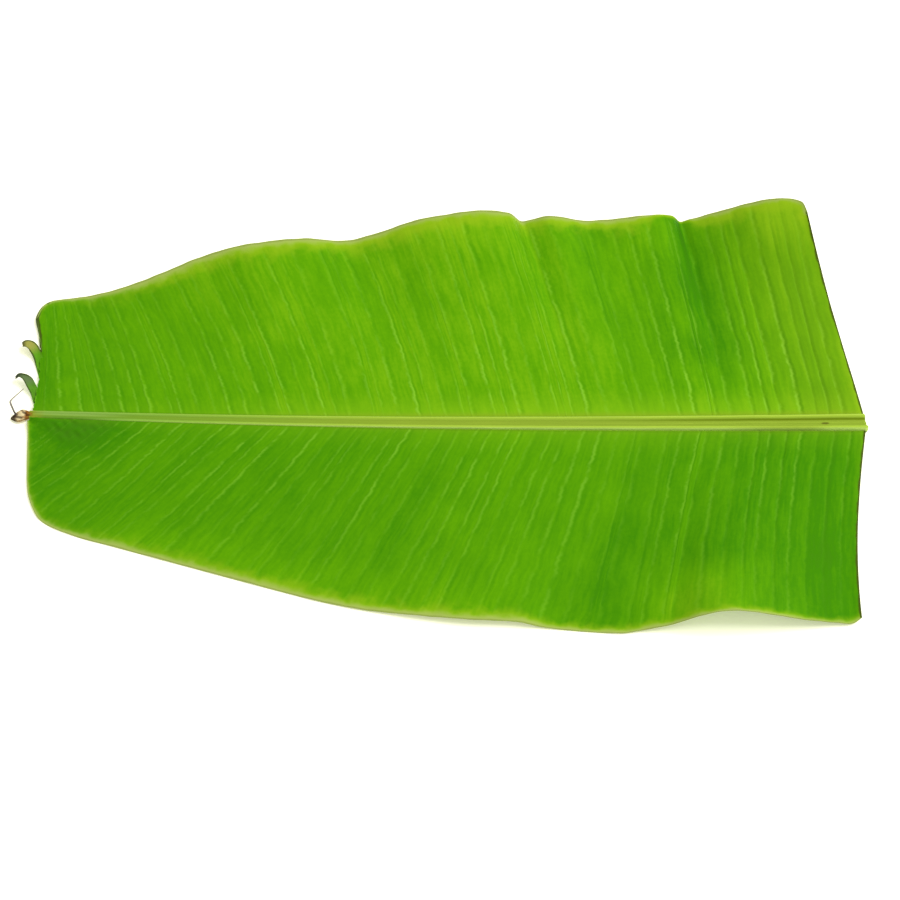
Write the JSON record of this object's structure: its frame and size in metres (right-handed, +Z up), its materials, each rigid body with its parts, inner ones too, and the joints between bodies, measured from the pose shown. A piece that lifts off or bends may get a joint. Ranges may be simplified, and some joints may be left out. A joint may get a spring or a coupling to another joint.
{
  "type": "banana leaf",
  "caption": "Tip end of a banana leaf, cut across along its veins and laid face up: waved green blade, pale channelled midrib and withered tip, as used for serving or wrapping food.",
  "frame": {"origin": "middle of the leaf's box, on the surface that the leaf lies on", "axes": "+X along the midrib towards the cut end, +Y towards the right half of the blade as seen from above with the tip pointing away, +Z up out of the upper face"},
  "size_m": [0.7076, 0.3902, 0.0411],
  "materials": {
    "blade": "satin",
    "midrib": "satin",
    "withered": "matte"
  },
  "bodies": {
    "root": {"midrib": "midrib", "blade_right": "blade", "blade_left": "blade", "dry_tip": "withered"}
  },
  "joints": []
}
